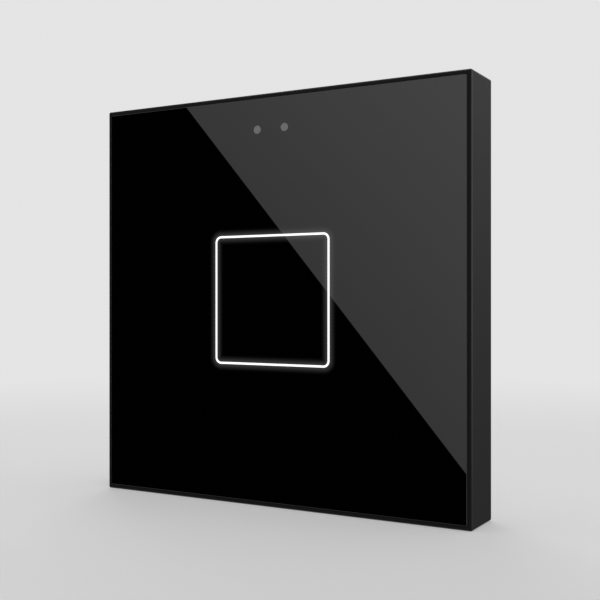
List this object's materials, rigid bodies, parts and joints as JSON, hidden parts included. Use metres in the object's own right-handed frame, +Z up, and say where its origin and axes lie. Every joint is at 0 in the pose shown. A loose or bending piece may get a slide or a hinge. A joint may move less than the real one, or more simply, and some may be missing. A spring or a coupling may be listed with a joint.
{
  "type": "touch light switch",
  "caption": "Square wall-mounted touch light switch: black glass front with a lit square and sensor windows, slim grey frame, magnetic hold on a steel wall plate, plug-in bus terminal.",
  "frame": {"origin": "centre of the wall plate's rear face, on the wall plane", "axes": "+X to the viewer's right, +Y into the wall, +Z up; the glass front faces -Y"},
  "size_m": [0.081, 0.0195, 0.081],
  "materials": {
    "plate_steel": "zinc-plated stamped sheet",
    "frame_anthracite": "fine moulded satin, anthracite",
    "front_glass": "polished, with a ground edge",
    "film_black": "printed opaque black",
    "adhesive": "tacky foam sheet",
    "guide_milky": "milky diffusing acrylic, lit",
    "inner_black": "plain moulded",
    "copper_foil": "bare copper foil",
    "spring_gilt": "gilt bronze strip",
    "led_body": "cast resin",
    "boot_rubber": "soft black rubber",
    "sensor_window": "smoky clear acrylic",
    "chip_black": "moulded epoxy",
    "sensor_clear": "clear resin",
    "board_green": "solder mask over glass-fibre board",
    "can_metal": "drawn metal can",
    "ferrite": "sintered ferrite",
    "capacitor_ochre": "moulded resin",
    "passive_tan": "sintered ceramic with tinned ends",
    "pilot_red": "red resin, unlit",
    "pipe_clear": "clear acrylic",
    "button_red": "plain moulded",
    "pin_tin": "tinned",
    "cover_black": "fine spark-eroded",
    "magnet_nickel": "nickel-plated",
    "screw_zinc": "black zinc",
    "terminal_red": "plain moulded",
    "terminal_grey": "plain moulded",
    "sleeve_brass": "drawn"
  },
  "bodies": {
    "wall_plate": {"mounting_plate": "plate_steel"},
    "panel": {"front_frame": "frame_anthracite", "front_glass": "front_glass", "mask_film": "film_black", "adhesive_sheet": "adhesive", "light_guide": "guide_milky", "key_block": "inner_black", "touch_electrode": "copper_foil", "electrode_contact": "spring_gilt", "ring_leds": "led_body", "sensor_boot": "boot_rubber", "sensor_light_pipes": "sensor_window", "proximity_sensor": "chip_black", "ambient_light_sensor": "sensor_clear", "circuit_board": "board_green", "microcontroller": "chip_black", "bus_transceiver": "chip_black", "crystal": "can_metal", "bus_choke": "ferrite", "buffer_capacitors": "capacitor_ochre", "surge_diode": "chip_black", "voltage_regulator": "chip_black", "temperature_sensor": "chip_black", "passive_parts": "passive_tan", "program_switch": "chip_black", "program_led": "pilot_red", "program_light_pipe": "pipe_clear", "bus_header": "inner_black", "bus_pins": "pin_tin", "rear_cover": "cover_black", "magnets": "magnet_nickel", "cover_screws": "screw_zinc"},
    "program_button": {"program_button": "button_red"},
    "bus_terminal": {"terminal_plus": "terminal_red", "terminal_minus": "terminal_grey", "terminal_sleeves": "sleeve_brass"}
  },
  "joints": [
    {"name": "panel_pull_off", "type": "slide", "parent": "wall_plate", "child": "panel", "axis": [0, -1, 0], "range_m": [0, 0.04]},
    {"name": "program_button_press", "type": "slide", "parent": "panel", "child": "program_button", "axis": [0, -1, 0], "range_m": [0, 0.00025], "stiffness_N_per_m": 2000, "springref_m": -0.0002},
    {"name": "bus_terminal_unplug", "type": "slide", "parent": "panel", "child": "bus_terminal", "axis": [0, 1, 0], "range_m": [0, 0.012]}
  ]
}
